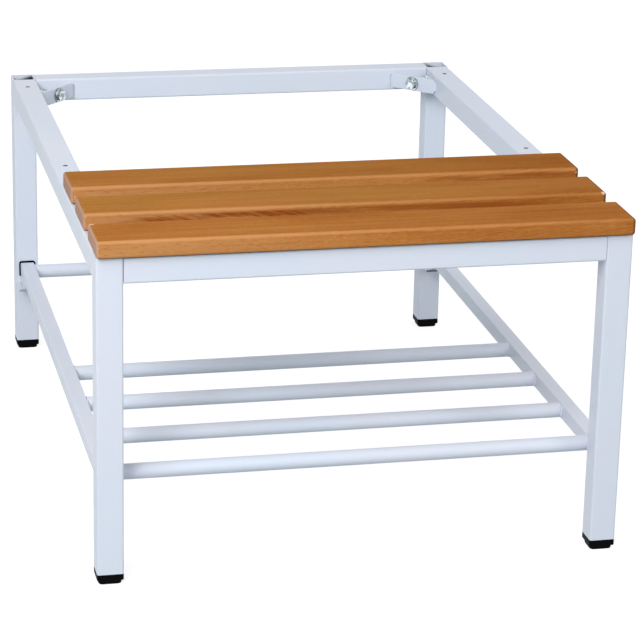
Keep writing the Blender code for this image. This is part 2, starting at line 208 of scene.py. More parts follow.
class Signal:
    """A socket in a material's nodes; arithmetic on it adds Math nodes."""

    def __init__(self, tree, socket=None):
        self.tree = tree
        self.socket = socket

    def node(self, kind, settings=None, sockets=None, output=0):
        """Add a node, set it up, fill its sockets with values or links, and give one output."""
        made = self.tree.nodes.new("ShaderNode" + kind)
        for name, value in (settings or {}).items():
            setattr(made, name, value)
        for key, value in (sockets or {}).items():
            if isinstance(value, Signal):
                self.tree.links.new(value.socket, made.inputs[key])
            else:
                made.inputs[key].default_value = value
        return Signal(self.tree, made.outputs[output])

    def math(self, operation, first, second=0.0):
        return self.node("Math", {"operation": operation}, {0: first, 1: second})

    def __add__(self, other):
        return self.math("ADD", self, other)

    def __sub__(self, other):
        return self.math("SUBTRACT", self, other)

    def __rsub__(self, other):
        return self.math("SUBTRACT", other, self)

    def __mul__(self, other):
        return self.math("MULTIPLY", self, other)

    def __abs__(self):
        return self.math("ABSOLUTE", self)

    __radd__ = __add__
    __rmul__ = __mul__

    def larger(self, other):
        return self.math("MAXIMUM", self, other)

    def smaller(self, other):
        return self.math("MINIMUM", self, other)

    def axis(self, letter):
        """One coordinate of a place: X, Y or Z."""
        return self.node("SeparateXYZ", None, {0: self}, letter)

    def noise(self, scale, detail=2.0, squeeze=(1, 1, 1), shift=(0, 0, 0)):
        """Soft noise from 0 to 1 at this place, drawn tighter along the squeezed axes."""
        moved = self.node("Mapping", None, {"Vector": self, "Location": shift, "Scale": squeeze})
        return self.node("TexNoise", None, {"Vector": moved, "Scale": scale, "Detail": detail})

    def between(self, low, high):
        """Smooth step from 0 at low to 1 at high."""
        return self.node("MapRange", {"interpolation_type": "SMOOTHSTEP"},
                         {"Value": self, "From Min": low, "From Max": high})

    def mix(self, first, second):
        """Colour that goes from the first to the second as this value goes from 0 to 1."""
        return self.node("Mix", {"data_type": "RGBA"}, {0: self, 6: first, 7: second}, 2)

    def bump(self, strength, distance):
        return self.node("Bump", None, {"Height": self, "Strength": strength, "Distance": distance})


def new_finish(name, **fixed):
    """Principled material with its fixed sockets set; gives it, its shader and its coordinates."""
    material = bpy.data.materials.new(name)
    material.use_nodes = True
    shader = material.node_tree.nodes["Principled BSDF"]
    for socket, value in fixed.items():
        shader.inputs[socket.replace("_", " ")].default_value = value
    return material, shader, Signal(material.node_tree).node("TexCoord", output="Object")


def feed(shader, **signals):
    """Link signals to a shader's sockets, whose names have _ for a space."""
    for socket, signal in signals.items():
        signal.tree.links.new(signal.socket, shader.inputs[socket.replace("_", " ")])


def powder_coated(name, bare_or_shaded=None):
    """Powder coat; bare_or_shaded gives a mask of where the colour goes to dark steel, for thin coat
    and for painted shade.
    """
    finish, shader, place = new_finish(name, IOR=1.5, Specular_IOR_Level=0.3)
    colour = place.noise(5.0, 3.0).between(0.35, 0.65).mix(COOL_GREY, WARM_GREY)
    if bare_or_shaded:
        colour = bare_or_shaded(place).mix(colour, DARK_STEEL_AND_SHADE)
    peel = place.noise(700.0, 2.0) + place.noise(2500.0, 1.0) * 0.4
    feed(shader,
         Base_Color=colour,
         Roughness=0.33 + place.noise(60.0, 3.0) * 0.12,
         Normal=peel.bump(0.10, 0.0003))
    return finish


def tube_inside(name, darkest, lightest, mouth=None):
    """Bare steel inside a tube, dark partly for the steel and partly as painted shade; where a mouth
    stands open the coat reaches a little way in, less far on the side towards the bench's middle,
    which paints the shadow of the tube's walls.
    """
    finish, shader, place = new_finish(name, Roughness=0.55, Specular_IOR_Level=0.2)
    colour = place.noise(90.0, 3.0).mix(darkest, lightest)
    if mouth:
        inner_side = abs(mouth.x) - abs(place.axis("X"))
        ragged = place.noise(400.0, 2.0) * SPRAY_RAGGED
        depth = mouth.z - place.axis("Z") + inner_side * SHADOW_SLANT + ragged
        colour = depth.between(*COAT_AND_SHADE_REACH).mix(COOL_GREY, colour)
    feed(shader, Base_Color=colour)
    return finish


def line_bore(piece, node, finish):
    """Give the finish to the faces inside a tube; holes drilled from above get it on their walls too,
    from a shallower depth, as painted shade in the holes.
    """
    low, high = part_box(node)
    piece.data.materials.append(finish)
    for face in piece.data.polygons:
        depths = [min(face.center[axis] - low[axis], high[axis] - face.center[axis])
                  for axis in range(3)]
        drilled = min(depths) == depths[2]
        if min(depths) > (HOLE_SHADE_FROM if drilled else BARE_FROM):
            face.material_index = 1


powder_coat = powder_coated("light grey powder coat")
leg_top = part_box("left_rear_leg")[1].z
leg_bore = tube_inside("inside of a leg", DARK_STEEL_AND_SHADE, GREY_STEEL,
                       Vector((middle_of("left_rear_leg").x, 0, leg_top)))
corners = {}
bolt_holes = bmesh.new()
for quarter, name in enumerate(CORNER_NAMES):
    low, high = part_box(f"{name}_leg")
    inner_edge = Vector((min(low.x, high.x, key=abs), min(low.y, high.y, key=abs), RAIL_MIDDLE))
    corners[name] = Matrix.Translation(inner_edge) @ Matrix.Rotation(quarter * pi / 2, 4, "Z")
    drill(bolt_holes, BOLT_HOLE, BOLT_DRILL, corners[name] @ INTO_CORNER)
for name in CORNER_NAMES:
    node = f"{name}_leg"
    leg = combined(square_tube(node, TUBE_SIDE, TUBE_CORNER, TUBE_WALL), bolt_holes, "DIFFERENCE")
    line_bore(add_piece(f"{node}_coated", leg, powder_coat, "powder_coat", node), node, leg_bore)

# Feet: black plastic plugs pushed into the legs, moulded with a fine spark-eroded grain.
# A square collar covers the sawn end of the tube, and a smaller pad with round corners stands
# on the floor.
COLLAR_HEIGHT = 0.007
COLLAR_EDGE = 0.0006
PAD_HEIGHT = 0.005
PAD_SIDE = 0.026
PAD_CORNER = 0.005
PAD_EDGE = 0.00125
PLUG_SIDE = 0.0254
PLUG_LENGTH = 0.018
PLUG_EDGE = 0.001
FUSED = 0.001
BLACK = (0.0008, 0.0010, 0.0014, 1)
SOFT_BLACK = (0.0022, 0.0025, 0.0032, 1)

black_plastic, shader, place = new_finish("black plastic", IOR=1.48, Specular_IOR_Level=0.04)
feed(shader,
     Base_Color=place.noise(300.0, 2.0).mix(BLACK, SOFT_BLACK),
     Roughness=0.42 + place.noise(120.0, 2.0) * 0.14,
     Normal=place.noise(1800.0, 2.0).bump(0.25, 0.0002))


def moulded_block(side, corner, height, edge, rise=0.0, steps=2):
    """Upright square block with round corners and eased edges, raised to its height."""
    block = ease(draw_out(square_section(side, corner), height), edge, steps)
    return move(block, Matrix.Translation((0, 0, rise)))


for name in CORNER_NAMES:
    node = f"{name}_foot"
    pad = moulded_block(PAD_SIDE, PAD_CORNER, PAD_HEIGHT + FUSED, PAD_EDGE, steps=3)
    collar = moulded_block(TUBE_SIDE, TUBE_CORNER, COLLAR_HEIGHT, COLLAR_EDGE, PAD_HEIGHT)
    plug = moulded_block(PLUG_SIDE, TUBE_CORNER, PLUG_LENGTH + FUSED, PLUG_EDGE,
                         PAD_HEIGHT + COLLAR_HEIGHT - FUSED)
    foot = combined(combined(collar, pad, "UNION"), plug, "UNION")
    centre = middle_of(node)
    move(foot, Matrix.Translation((centre.x, centre.y, 0)))
    add_piece(f"{node}_moulded", foot, black_plastic, "black_plastic", node)

# Top rails: the same tube, two side rails and two cross rails butted between the legs.
# They are slotted for the corner brackets, and drilled for the slat screws and the locker's screws.
BRACKET_REACH = 0.050
SLOT_WIDTH = 0.0031
SLOT_HEIGHT = 0.0130
SLOT_DEPTH = 0.006
SCREW_HOLE = 0.0051
PILOT_SPARE = 0.0011
LOCKER_HOLE = 0.006
LOCKER_HOLE_FROM_BACK = 0.068
LOCKER_HOLE_SPACING = 0.387
THIN_COAT = (0.210, 0.215, 0.230, 1)
SIDE_RAILS = ("left_top_rail", "right_top_rail")
SLAT_NAMES = ("front_slat", "middle_slat", "rear_slat")

screw_nodes = [f"{slat}_screw_{number}" for slat in SLAT_NAMES for number in (1, 2, 3, 4)]
screw_holes = bmesh.new()
for node in screw_nodes:
    bottom = RAIL_MIDDLE - TUBE_SIDE
    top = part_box(node)[1].z + PILOT_SPARE
    spot = Vector((middle_of(node).x, middle_of(node).y, (bottom + top) / 2))
    drill(screw_holes, SCREW_HOLE, top - bottom, Matrix.Translation(spot))
rail_holes = screw_holes.copy()
for name in CORNER_NAMES:
    for turn, spot in ((0, (0, -BRACKET_REACH, 0)), (pi / 2, (-BRACKET_REACH, 0, 0))):
        slot_box = Matrix.Diagonal((SLOT_DEPTH, SLOT_WIDTH, SLOT_HEIGHT, 1))
        bmesh.ops.create_cube(rail_holes, size=1, matrix=corners[name] @ Matrix.Translation(spot)
                              @ Matrix.Rotation(turn, 4, "Z") @ slot_box)
    drill(rail_holes, BOLT_HOLE, BOLT_DRILL, corners[name] @ INTO_CORNER)
for node in SIDE_RAILS:
    for from_back in (LOCKER_HOLE_FROM_BACK, LOCKER_HOLE_FROM_BACK + LOCKER_HOLE_SPACING):
        spot = Vector((middle_of(node).x, solid_box[1].y - from_back, RAIL_MIDDLE))
        drill(rail_holes, LOCKER_HOLE, 2 * TUBE_SIDE, Matrix.Translation(spot))
rail_bore = tube_inside("inside of a rail", GREY_STEEL, THIN_COAT)
for node in (*SIDE_RAILS, "front_rail", "rear_rail"):
    rail = combined(square_tube(node, TUBE_SIDE, TUBE_CORNER, TUBE_WALL), rail_holes, "DIFFERENCE")
    line_bore(add_piece(f"{node}_coated", rail, powder_coat, "powder_coat", node), node, rail_bore)

# Corner brackets: flat steel 20 by 3 mm, bent twice, whose narrow ends hook into slots in two rails.
# They pull both rails against the leg when the corner bolt is tightened.
BRACKET_STUB = 0.002
BRACKET_TAB = 0.005
BRACKET_HEIGHT = 0.020
TAB_HEIGHT = 0.012
BRACKET_THICKNESS = 0.003
BRACKET_EDGE = 0.0005
BEND_SIZE = 0.0040
BEND_STEPS = 6
SHOULDER_REACH = 0.010
SHOULDER_STEPS = 8


def upright_strip(path):
    """Thin upright strip along a path in plan, with its bends rounded."""
    strip = bmesh.new()
    points = [strip.verts.new((x, y, -BRACKET_HEIGHT / 2)) for x, y in path]
    foot_edges = [strip.edges.new(pair) for pair in zip(points, points[1:])]
    raised = bmesh.ops.extrude_edge_only(strip, edges=foot_edges)["geom"]
    top = [item for item in raised if isinstance(item, bmesh.types.BMVert)]
    bmesh.ops.translate(strip, vec=(0, 0, BRACKET_HEIGHT), verts=top)
    bends = [edge for edge in strip.edges if len(edge.link_faces) == 2]
    bmesh.ops.bevel(strip, geom=bends, offset=BEND_SIZE, segments=BEND_STEPS, profile=0.5,
                    affect="EDGES", material=-1)
    return strip


def shoulder_cut(to_bend):
    """Body that takes a bracket's end down to the height of its tab, up to a round shoulder."""
    radius = (BRACKET_HEIGHT - TAB_HEIGHT) / 2
    past_tab = to_bend + SHOULDER_REACH
    outline = [(past_tab, BRACKET_HEIGHT), (to_bend - radius, BRACKET_HEIGHT)]
    for step in range(SHOULDER_STEPS + 1):
        angle = pi / 2 * step / SHOULDER_STEPS
        outline.append((to_bend - radius * (1 - sin(angle)), TAB_HEIGHT / 2 + radius * cos(angle)))
    outline.append((past_tab, TAB_HEIGHT / 2))
    section = bmesh.new()
    section.faces.new([section.verts.new((x, y, -SHOULDER_REACH)) for x, y in outline])
    return draw_out(section, 2 * SHOULDER_REACH)


bracket_path = [
    (BRACKET_TAB, -BRACKET_REACH), (-BRACKET_STUB, -BRACKET_REACH),
    (-BRACKET_REACH, -BRACKET_STUB), (-BRACKET_REACH, BRACKET_TAB)]
bracket_distance = (BRACKET_REACH + BRACKET_STUB) / sqrt(2)
bend_distance = (BRACKET_REACH - BRACKET_STUB) / sqrt(2)
bracket_middle = Vector((-1, -1, 0)) * bracket_distance / sqrt(2)
for name in CORNER_NAMES:
    node = f"{name}_bracket"
    bracket = worked(upright_strip(bracket_path), "SOLIDIFY",
                     thickness=BRACKET_THICKNESS, offset=0, use_even_offset=True)
    bolt_hole = bmesh.new()
    drill(bolt_hole, BOLT_HOLE, 4 * BRACKET_THICKNESS,
          INTO_CORNER @ Matrix.Translation((0, 0, -bracket_distance)))
    bracket = combined(ease(bracket, BRACKET_EDGE), bolt_hole, "DIFFERENCE")
    for lean in (pi / 2, -pi / 2):
        for heading in (pi * 0.75, -pi / 4):
            cut = move(shoulder_cut(bend_distance), Matrix.Translation(bracket_middle)
                       @ Matrix.Rotation(heading, 4, "Z") @ Matrix.Rotation(lean, 4, "X"))
            bracket = combined(bracket, cut, "DIFFERENCE")
    add_piece(f"{node}_coated", move(bracket, corners[name]), powder_coat, "powder_coat", node)

# Corner bolts: zinc plated hex bolts, 8 mm, with a plain washer under the head.
# Each goes through a bracket into a nut inside the leg, and draws the corner together.
BOLT_DIAMETER = 0.008
BOLT_PITCH = 0.00125
BOLT_FLATS = 0.013
BOLT_HEAD = 0.0053
BOLT_CROWN = 0.0061
CROWN_REACH = BOLT_FLATS * 0.62
CROWN_SLOPE = 0.577
CROWN_SPARE = 0.0001
CROWN_FOOT = 0.001
CROWN_STEPS = 72
BOLT_PLAIN = 0.008
BOLT_THREAD_SPARE = 0.0015
BOLT_POINT_LENGTH = 0.0012
BOLT_POINT_DEPTH = 0.0011
BOLT_STEPS = 32
BOLT_PAST_NUT = 0.003
THREAD_DEPTH = 0.54
NUT_HEIGHT = 0.0065
WASHER_THICKNESS = 0.0016
WASHER_DIAMETER = 0.019
WASHER_EDGE = 0.0003
WASHER_STEPS = 48
CONTACT_GAP = 0.0003
DULL_ZINC = (0.33, 0.38, 0.41, 1)
BRIGHT_ZINC = (0.86, 0.91, 0.93, 1)
# Painted shade on the bolt heads and washer rims: its colour, and the ranges where it lies
SHADED_ZINC = (0.060, 0.075, 0.080, 1)
FLAT_SHADE_START = (0.0001, 0.0008)
FLAT_SHADE_END = (0.0036, 0.0048)
HEAD_REACH = (0.008, 0.010)
PAINTED_SHADE_BELOW = (-0.004, 0.003)
RIM_SHADOW_START = (0.0086, 0.0093)
RIM_SHADOW_END = (0.0097, 0.0105)


def zinc_plated(name):
    """Cloudy zinc, the clouds partly its own mottle and partly painted reflection, with painted shade
    on the sides of the bolt heads, strongest below the axis, and a ring of painted shadow round the
    washers' rims.
    """
    finish, shader, place = new_finish(name, Metallic=1.0)
    front_edge = corners["left_front"].translation
    rear_edge = corners["right_rear"].translation
    frame_middle = (front_edge + rear_edge) / 2
    head_start = (middle_of("left_front_washer") - front_edge).length + WASHER_THICKNESS / 2
    beside = rear_edge.x - abs(place.axis("X"))
    before = rear_edge.y - frame_middle.y - abs(place.axis("Y") - frame_middle.y)
    up = place.axis("Z") - RAIL_MIDDLE
    sideways = (beside - before) * sqrt(0.5)
    off_axis = place.math("SQRT", up * up + sideways * sideways)
    out_of_corner = (beside + before) * sqrt(0.5) - head_start
    # Painted shade on the hex sides of each bolt head, stronger below its axis, and painted shadow at
    # each washer's rim
    flat_shade = out_of_corner.between(*FLAT_SHADE_START) * (1 - out_of_corner.between(*FLAT_SHADE_END))
    flat_shade = flat_shade * (1 - off_axis.between(*HEAD_REACH)) * (0.90 - up.between(*PAINTED_SHADE_BELOW) * 0.45)
    rim = off_axis.between(*RIM_SHADOW_START) * (1 - off_axis.between(*RIM_SHADOW_END))
    # Clouds of dull and bright zinc: partly the plating's own mottle, partly painted reflection
    plating = place.noise(170.0, 2.0).between(0.42, 0.58).mix(DULL_ZINC, BRIGHT_ZINC)
    feed(shader,
         Base_Color=flat_shade.larger(rim * 0.75).mix(plating, SHADED_ZINC),
         Roughness=0.16 + place.noise(500.0, 3.0) * 0.18,
         Normal=place.noise(1500.0, 2.0).bump(0.12, 0.0001))
    return finish


def turned(profile, steps):
    """Body turned on a lathe round Z, from (radius, height) points of its profile."""
    mesh = bmesh.new()
    points = [mesh.verts.new((radius, 0, height)) for radius, height in profile]
    edges = [mesh.edges.new(pair) for pair in zip(points, points[1:])]
    bmesh.ops.spin(mesh, geom=points + edges, cent=(0, 0, 0), axis=(0, 0, 1), dvec=(0, 0, 0),
                   angle=tau, steps=steps, use_merge=True)
    bmesh.ops.remove_doubles(mesh, verts=mesh.verts, dist=1e-6)
    bmesh.ops.recalc_face_normals(mesh, faces=mesh.faces)
    return mesh


def thread(diameter, pitch, start, end):
    """Points of a screw thread's profile, ridge and groove by turns."""
    points = []
    height = start
    while height + pitch < end:
        points += [(diameter / 2, height), (diameter / 2 - THREAD_DEPTH * pitch, height + pitch / 2)]
        height += pitch
    return points


def washer():
    """Flat ring round Z: its section, a small rectangle with eased corners, spun round."""
    ring = bmesh.new()
    width = (WASHER_DIAMETER - BOLT_HOLE) / 2
    bmesh.ops.create_grid(ring, x_segments=1, y_segments=1, size=0.5)
    bmesh.ops.scale(ring, vec=(width, WASHER_THICKNESS, 1), verts=ring.verts)
    bmesh.ops.bevel(ring, geom=ring.verts, offset=WASHER_EDGE, segments=3, profile=0.5,
                    affect="VERTICES", material=-1)
    bmesh.ops.delete(ring, geom=ring.faces, context="FACES_ONLY")
    bmesh.ops.rotate(ring, cent=(0, 0, 0), matrix=Matrix.Rotation(pi / 2, 3, "X"), verts=ring.verts)
    bmesh.ops.translate(ring, vec=(BOLT_HOLE / 2 + width / 2, 0, 0), verts=ring.verts)
    bmesh.ops.spin(ring, geom=ring.verts[:] + ring.edges[:], cent=(0, 0, 0), axis=(0, 0, 1),
                   dvec=(0, 0, 0), angle=tau, steps=WASHER_STEPS, use_merge=True)
    bmesh.ops.recalc_face_normals(ring, faces=ring.faces)
    return ring


def hex_bolt(shank):
    """Hex bolt along Z, its head below and its threaded shank above the plane of X and Y."""
    head = bmesh.new()
    bmesh.ops.create_circle(head, cap_ends=True, segments=6, radius=BOLT_FLATS / sqrt(3))
    draw_out(head, -BOLT_HEAD)
    crown = turned([
        (0, -BOLT_HEAD - CROWN_SPARE), (BOLT_CROWN, -BOLT_HEAD - CROWN_SPARE),
        (CROWN_REACH, -BOLT_HEAD + (CROWN_REACH - BOLT_CROWN) * CROWN_SLOPE),
        (CROWN_REACH, CROWN_FOOT), (0, CROWN_FOOT)], CROWN_STEPS)
    head = combined(head, crown, "INTERSECT")
    radius = BOLT_DIAMETER / 2
    rod = turned(
        [(0, -BOLT_HEAD / 2), (radius, -BOLT_HEAD / 2)]
        + thread(BOLT_DIAMETER, BOLT_PITCH, BOLT_PLAIN, shank - BOLT_THREAD_SPARE)
        + [(radius, shank - BOLT_POINT_LENGTH), (radius - BOLT_POINT_DEPTH, shank), (0, shank)],
        BOLT_STEPS)
    return combined(head, rod, "UNION")


zinc = zinc_plated("zinc plated steel")
for name in CORNER_NAMES:
    node = f"{name}_washer"
    under_head = middle_of(node)
    aim = Matrix.Translation(under_head) @ corners[name].to_3x3().to_4x4() @ INTO_CORNER
    add_piece(f"{node}_plated", move(washer(), aim), zinc, "zinc", node)

    node = f"{name}_bolt"
    seat = WASHER_THICKNESS / 2 + CONTACT_GAP
    to_nut = (middle_of(f"{name}_nut") - under_head).length
    bolt = hex_bolt(to_nut + seat + NUT_HEIGHT / 2 + BOLT_PAST_NUT)
    move(bolt, aim @ Matrix.Translation((0, 0, -seat)))
    add_piece(f"{node}_plated", bolt, zinc, "zinc", node)
    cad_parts[f"{name}_nut"].data.materials.clear()
    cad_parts[f"{name}_nut"].data.materials.append(zinc)

# Shoe rack: five round tubes of 18 mm welded between two lower rails of 18 mm square tube.
# The lower rails butt on the front legs, where they are welded too.
RACK_SIDE = 0.018
RACK_WALL = 0.0015
RACK_CORNER = 0.0015
BAR_NAMES = [f"rack_bar_{number}" for number in (1, 2, 3, 4, 5)]
BAR_STEPS = 56
BEAD_RADIUS = 0.0015
BEAD_ARC = radians(112)
BEAD_STEPS = 28
BEAD_RIPPLES = 7
RIPPLE_DEPTH = 0.08
BEAD_START = 0.35
BEAD_SWELL = 5


def weld_bead(round_axis, sweep, rise=0.0):
    """Rippled bead: a small disc swept round Z at a distance, or straight up by a rise."""
    bead = bmesh.new()
    bmesh.ops.create_circle(bead, cap_ends=True, segments=12, radius=BEAD_RADIUS)
    if sweep:
        bmesh.ops.rotate(bead, cent=(0, 0, 0), matrix=Matrix.Rotation(pi / 2, 3, "X"),
                         verts=bead.verts)
    bmesh.ops.translate(bead, vec=(round_axis, 0, 0), verts=bead.verts)
    bmesh.ops.spin(bead, geom=bead.faces, cent=(0, 0, 0), axis=(0, 0, 1), angle=sweep,
                   dvec=(0, 0, rise / BEAD_STEPS), steps=BEAD_STEPS, use_merge=False)
    bmesh.ops.recalc_face_normals(bead, faces=bead.faces)
    for point in bead.verts:
        flat = Vector((point.co.x, point.co.y, 0))
        part = flat.angle(Vector((1, 0, 0))) / sweep if sweep else point.co.z / rise
        core = flat.normalized() * round_axis if sweep else Vector((0, 0, point.co.z))
        ends = min(1.0, BEAD_START + BEAD_SWELL * min(part, 1 - part))
        ripple = 1 - RIPPLE_DEPTH + RIPPLE_DEPTH * cos(tau * BEAD_RIPPLES * part)
        point.co = core + (point.co - core) * ends * ripple
    return bead


def add_bead(welds, bead, matrix):
    """Put one bead among the welds of a group."""
    move(bead, matrix)
    data = bpy.data.meshes.new("bead")
    bead.to_mesh(data)
    bead.free()
    welds.from_mesh(data)
    bpy.data.meshes.remove(data)


for node in BAR_NAMES:
    section = bmesh.new()
    bmesh.ops.create_circle(section, cap_ends=True, segments=BAR_STEPS, radius=RACK_SIDE / 2)
    bar = lay_on(ease(draw_out(hollow(section, RACK_WALL), length_of(node)), SAWN_EDGE), node)
    add_piece(f"{node}_coated", bar, powder_coat, "powder_coat", node)
for side in ("left", "right"):
    node = f"{side}_lower_rail"
    rail = square_tube(node, RACK_SIDE, RACK_CORNER, RACK_WALL)
    add_piece(f"{node}_coated", rail, powder_coat, "powder_coat", node)

    welds = bmesh.new()
    rail_middle = middle_of(node)
    inward = -1 if rail_middle.x > 0 else 1
    face_x = rail_middle.x + inward * RACK_SIDE / 2
    for bar in BAR_NAMES:
        spot = Vector((face_x + inward * BEAD_RADIUS / 3, middle_of(bar).y, rail_middle.z))
        for facing in (pi, 0):
            stand_up = Matrix.Rotation(pi / 2, 4, "Y") @ Matrix.Rotation(-BEAD_ARC / 2, 4, "Z")
            around = Matrix.Rotation(facing + pi / 2, 4, "X")
            add_bead(welds, weld_bead(RACK_SIDE / 2 + BEAD_RADIUS / 3, BEAD_ARC),
                     Matrix.Translation(spot) @ around @ stand_up)
    rail_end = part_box(node)[0].y
    straight = RACK_SIDE - 2 * RACK_CORNER
    for outward in (-1, 1):
        spot = Vector((rail_middle.x + outward * RACK_SIDE / 2, rail_end, rail_middle.z))
        add_bead(welds, weld_bead(0, 0, straight),
                 Matrix.Translation(spot - Vector((0, 0, straight / 2))))
    add_piece(f"{side}_rack_welds", welds, powder_coat, "powder_coat")

# Rear supports of the rack: black plastic caps close the lower rails' rear ends.
# Each end lies on a small steel channel with a wider base, which is notched for the cap's rim and
# welded to the rear leg. Its inner corners and the front edge of its base are dark, partly for thin
# coat and partly as painted shade.
CAP_RIM = 0.002
CAP_THICKNESS = 0.002
CAP_EDGE = 0.0005
CAP_PLUG = 0.014
CAP_PLUG_SIDE = 0.0144
CAP_PLUG_EDGE = 0.0008
LUG_LENGTH = 0.035
LUG_HEIGHT = 0.012
LUG_THICKNESS = 0.0025
LUG_FLANGE = 0.0055
LUG_EDGE = 0.0004
NOTCH_LENGTH = 0.0026
SEAM_WIDTH = (0.0002, 0.0009)


def thin_coat_and_shade(place):
    """Mask of thin coat and painted shade in the corners between a lug's base and cheeks and along
    the front edge of its base, stronger on the right lug.
    """
    front_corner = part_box("right_rack_lug")[0]
    above_base = place.axis("Z") - (front_corner.z + LUG_THICKNESS)
    beside = abs(abs(place.axis("X")) - middle_of("right_rack_lug").x)
    off_corner = abs(beside - RACK_SIDE / 2).larger(abs(above_base))
    off_edge = (place.axis("Y") - front_corner.y).larger(above_base)
    seam = 1 - off_corner.smaller(off_edge).between(*SEAM_WIDTH)
    return seam * (place.axis("X").between(-0.1, 0.1) * 0.35 + 0.50)


lug_coat = powder_coated("powder coat on the lugs", thin_coat_and_shade)
for side in ("left", "right"):
    node = f"{side}_rail_cap"
    plate = moulded_block(RACK_SIDE + 2 * CAP_RIM, RACK_CORNER + CAP_RIM, CAP_THICKNESS, CAP_EDGE)
    plug = moulded_block(CAP_PLUG_SIDE, RACK_CORNER, CAP_PLUG + FUSED, CAP_PLUG_EDGE,
                         CAP_THICKNESS - FUSED)
    cap = combined(plate, plug, "UNION")
    back = Vector((middle_of(node).x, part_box(node)[1].y, middle_of(node).z))
    move(cap, Matrix.Translation(back) @ Matrix.Rotation(pi / 2, 4, "X"))
    add_piece(f"{node}_moulded", cap, black_plastic, "black_plastic", node)

    node = f"{side}_rack_lug"
    lug_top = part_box(node)[1]
    cheek = RACK_SIDE / 2
    inside = cheek - LUG_THICKNESS
    base = cheek + LUG_FLANGE
    base_top = LUG_THICKNESS - LUG_HEIGHT
    half = [(inside, base_top), (inside, 0), (cheek, 0), (cheek, base_top), (base, base_top),
            (base, -LUG_HEIGHT)]
    outline = half + [(-x, y) for x, y in reversed(half)]
    section = bmesh.new()
    section.faces.new([section.verts.new((x, y, 0)) for x, y in outline])
    channel = ease(draw_out(section, LUG_LENGTH), LUG_EDGE)
    top_end = Vector((middle_of(node).x, middle_of(node).y + LUG_LENGTH / 2, lug_top.z))
    move(channel, Matrix.Translation(top_end) @ Matrix.Rotation(pi / 2, 4, "X"))
    notch = bmesh.new()
    notch_size = Matrix.Diagonal((2 * RACK_SIDE, 2 * NOTCH_LENGTH, 2 * CAP_RIM, 1))
    bmesh.ops.create_cube(notch, size=1, matrix=Matrix.Translation(
        (top_end.x, lug_top.y + CONTACT_GAP, lug_top.z)) @ notch_size)
    channel = combined(channel, notch, "DIFFERENCE")
    add_piece(f"{node}_coated", channel, lug_coat, "powder_coat", node)

# Seat slats: three planed beech boards, 70 by 20 mm, with all edges rounded over and lacquered clear.
# The lines run along each board, its ends show end grain, and no two boards have the same figure.
SLAT_EDGE = 0.004
SLAT_LOOKS = {
    "front_slat": {
        "seed": (3.1, 0.9, 1.1), "red_heart": (0.400, 0.500), "tone": 1.01, "top_depth": 0.28,
        "face_depth": 0.12, "top_painted_falloff": -0.06, "face_painted_falloff": 0.50, "yellow_share": 0.02,
        "chipped": (-1, 1, 0.0056)},
    "middle_slat": {
        "seed": (7.2, 4.7, 2.4), "red_heart": (-0.240, 0.215), "tone": 0.955, "top_depth": 0.02,
        "face_depth": 0.14, "top_painted_falloff": 0.50, "face_painted_falloff": 0.60, "yellow_share": 0.40,
        "chipped": (1, -1, 0.0034)},
    "rear_slat": {
        "seed": (5.7, 2.2, 6.8), "red_heart": (0.110, 0.400), "tone": 0.93, "top_depth": 0.28,
        "face_depth": -0.24, "top_painted_falloff": 0.60, "face_painted_falloff": -0.20, "yellow_share": 0.28,
        "chipped": (1, 1, 0.0034)},
}
FRESH_WOOD = (0.860, 0.640, 0.480, 1)
# Brown of the painted shade below the slats and along their right ends
PAINTED_SHADE_BROWN = (0.050, 0.026, 0.014, 1)
FRONT_FACE = (0.0290, 0.0345)
SHADED_UNDERSIDE = (0.0082, 0.0094)
HEART_TOP = (0.0040, 0.0065)
HEART_FOOT = (-0.0050, -0.0020)
WORN_AND_LIT_EDGE = (0.0016, 0.0030)
CHIP_MIDDLE = Vector((0.004, 0.002, 0.001))
CHIP_RAGGED = 0.004
CHIP_BORDER = 0.0012


